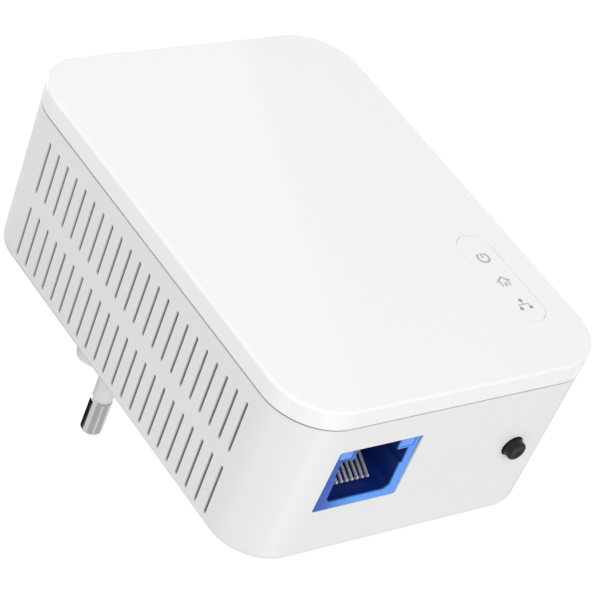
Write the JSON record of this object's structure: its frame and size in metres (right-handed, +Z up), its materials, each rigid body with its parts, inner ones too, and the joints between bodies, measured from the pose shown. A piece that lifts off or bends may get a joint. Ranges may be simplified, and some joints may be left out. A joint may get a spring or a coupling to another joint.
{
  "type": "powerline adapter",
  "caption": "Plug-in powerline network adapter: rounded white slab housing with side cooling slots, blue RJ45 socket, black push button and a two-pin mains plug base.",
  "frame": {"origin": "midpoint between the two pins on the end face of the plug base", "axes": "+Y out of the plug face along the pins into the wall, front cover faces -Y, +Z up as it hangs in a wall socket with the RJ45 end down"},
  "size_m": [0.0624, 0.0683, 0.087],
  "materials": {
    "cover_gloss": "glossy white injection-moulded cover",
    "housing_matte": "fine-grained satin white ABS",
    "lens_white": "flush translucent white window",
    "guide_clear": "clear acrylic",
    "led_white": "lamp package",
    "board_green": "solder-masked glass-fibre board",
    "board_tan": "paper-phenolic board",
    "screw_steel": "zinc-plated steel",
    "socket_blue": "blue socket plastic",
    "lamp_window": "light-blue lamp window",
    "contact_plated": "plated spring wire",
    "switch_black": "black moulding",
    "bracket_tin": "tinned steel",
    "button_black": "black satin plunger",
    "chip_black": "black package",
    "pad_grey": "soft thermal pad",
    "sink_aluminium": "anodised aluminium",
    "crystal_tin": "metal can",
    "ferrite_grey": "ferrite",
    "tape_yellow": "winding tape",
    "can_sleeve": "sleeved capacitor can",
    "film_box": "boxed film capacitor",
    "opto_white": "white package",
    "disc_blue": "dipped ceramic disc",
    "fuse_brown": "radial fuse cap",
    "copper_wire": "enamelled copper",
    "sheet_clear": "insulating film",
    "pin_nickel": "nickel-plated brass",
    "sleeve_grey": "insulating sleeve",
    "carrier_grey": "pin carrier moulding",
    "strip_brass": "brass contact strip",
    "label_white": "blank label plate"
  },
  "bodies": {
    "adapter": {"front_cover": "cover_gloss", "rear_housing": "housing_matte", "indicator_lens": "lens_white", "light_guide": "guide_clear", "status_leds": "led_white", "main_board": "board_green", "power_board": "board_tan", "main_board_screws": "screw_steel", "power_board_screws": "screw_steel", "rj45_housing": "socket_blue", "rj45_leds": "lamp_window", "rj45_solder_tails": "contact_plated", "switch_body": "switch_black", "switch_bracket": "bracket_tin", "lan_transformer": "chip_black", "phy_chip": "chip_black", "plc_chip": "chip_black", "memory_chip": "chip_black", "flash_chip": "chip_black", "thermal_pad": "pad_grey", "chip_heatsink": "sink_aluminium", "crystal": "crystal_tin", "filter_inductors": "ferrite_grey", "coupling_core": "ferrite_grey", "coupling_winding": "tape_yellow", "board_header": "switch_black", "transformer_bobbin": "switch_black", "transformer_core": "ferrite_grey", "transformer_winding": "tape_yellow", "bulk_capacitors": "can_sleeve", "output_capacitor": "can_sleeve", "output_diode": "chip_black", "film_capacitor": "film_box", "optocoupler": "opto_white", "varistor": "disc_blue", "fuse": "fuse_brown", "y_capacitor": "disc_blue", "choke_core": "ferrite_grey", "choke_windings": "copper_wire", "bridge_rectifier": "chip_black", "switcher_chip": "chip_black", "x_capacitor": "film_box", "insulation_sheet": "sheet_clear", "plug_pins": "pin_nickel", "pin_sleeves": "sleeve_grey", "pin_carrier": "carrier_grey", "pin_contacts": "strip_brass", "housing_screws": "screw_steel", "rating_label": "label_white"},
    "button": {"pair_button": "button_black"},
    "socket_wires": {"rj45_contacts": "contact_plated"}
  },
  "joints": [
    {"name": "button_press", "type": "slide", "parent": "adapter", "child": "button", "axis": [0, 0, 1], "range_m": [0, 0.00035], "stiffness_N_per_m": 2000},
    {"name": "wire_flex", "type": "hinge", "parent": "adapter", "child": "socket_wires", "pos_m": [-0.0124, -0.02945, -0.0609], "axis": [-1, 0, 0], "range_deg": [0, 10], "stiffness_Nm_per_rad": 0.004}
  ]
}
